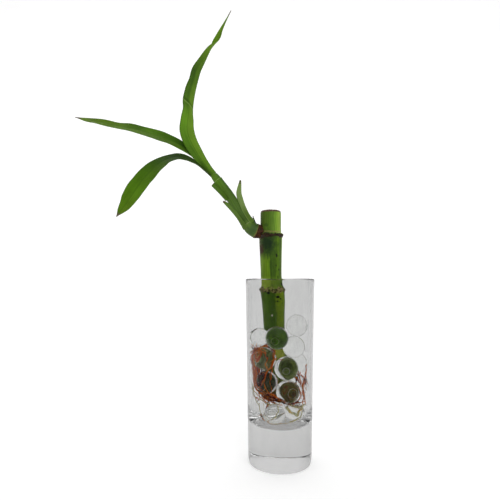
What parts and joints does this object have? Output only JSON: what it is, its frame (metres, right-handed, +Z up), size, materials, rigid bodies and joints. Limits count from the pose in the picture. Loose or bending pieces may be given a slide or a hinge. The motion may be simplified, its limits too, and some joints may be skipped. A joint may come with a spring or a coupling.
{
  "type": "lucky bamboo",
  "caption": "Lucky bamboo cane with a leafy side shoot, rooted in clear gel beads in a tall narrow glass vase.",
  "frame": {"origin": "centre of the glass vase's flat base, on the surface it stands on", "axes": "+Z up along the vase, +X to the viewer's right, +Y away from the viewer; the shoot and leaves lean towards -X"},
  "size_m": [0.1378, 0.0476, 0.2556],
  "materials": {
    "glass": "polished",
    "gel": "gloss",
    "cane": "satin",
    "shoot": "satin",
    "leaf": "satin",
    "sheath": "matte",
    "root": "matte"
  },
  "bodies": {
    "root": {"glass_vase": "glass", "bead_front_upper": "gel", "bead_left_upper": "gel", "bead_right_top": "gel", "bead_right_upper": "gel", "bead_front_middle": "gel", "bead_left_middle": "gel", "bead_left_lower": "gel", "bead_right_middle": "gel", "bead_front_lower": "gel", "bead_right_lower": "gel", "bead_bottom_front": "gel", "bead_bottom_right": "gel", "bead_bottom_back": "gel", "cane": "cane", "side_shoot": "shoot", "leaf_upright": "leaf", "leaf_left": "leaf", "leaf_drooping": "leaf", "scale_at_base": "sheath", "sheath_pointed": "sheath", "sheath_lower": "sheath", "sheath_cut_stub": "sheath", "root_left_outer": "root", "root_left_inner": "root", "root_left_front": "root", "root_loop_front": "root", "root_loop_side": "root", "root_sweep_low": "root", "root_sweep_high": "root", "root_under_beads": "root", "root_right_outer": "root", "root_right_branch": "root", "root_right_inner": "root", "root_pale_hook": "root", "root_foot_back": "root", "root_foot_left": "root", "root_foot_front": "root", "root_stray_left": "root"}
  },
  "joints": []
}
